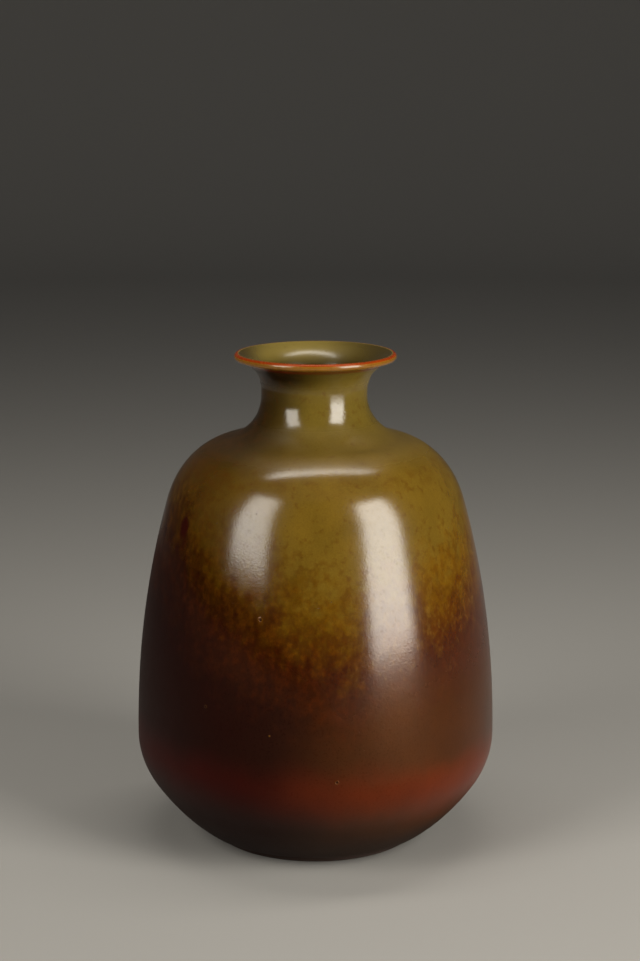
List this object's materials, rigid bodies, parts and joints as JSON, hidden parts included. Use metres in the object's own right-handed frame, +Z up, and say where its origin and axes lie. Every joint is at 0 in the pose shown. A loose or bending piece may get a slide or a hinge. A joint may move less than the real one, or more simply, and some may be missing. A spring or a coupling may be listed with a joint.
{
  "type": "stoneware vase",
  "caption": "Wide-bodied thrown stoneware vase on a low foot ring, with a waisted neck, a thin everted lip and an olive glaze over a red-brown one.",
  "frame": {"origin": "centre of the foot ring's standing face", "axes": "+Z up along the vase's axis; X and Y are alike, because the vase is turned"},
  "size_m": [0.183, 0.183, 0.25],
  "materials": {
    "clay": "bare fired stoneware, matt, red-brown with fine grog",
    "brown_glaze": "gloss red-brown iron glaze, brighter orange-red in a band on the lower belly and near black below it",
    "olive_glaze": "gloss olive glaze, mottled into the brown one at its lower edge, with faint vertical streaks and a few pinholes",
    "lip_glaze": "gloss glaze that breaks orange-red where it thins over the arris of the lip",
    "inner_glaze": "gloss olive liner glaze"
  },
  "bodies": {
    "root": {"foot_ring": "clay", "lower_body": "clay", "upper_body": "clay", "mouth_collar": "clay", "brown_glaze": "brown_glaze", "olive_glaze": "olive_glaze", "lip_glaze": "lip_glaze", "inner_glaze": "inner_glaze"}
  },
  "joints": []
}
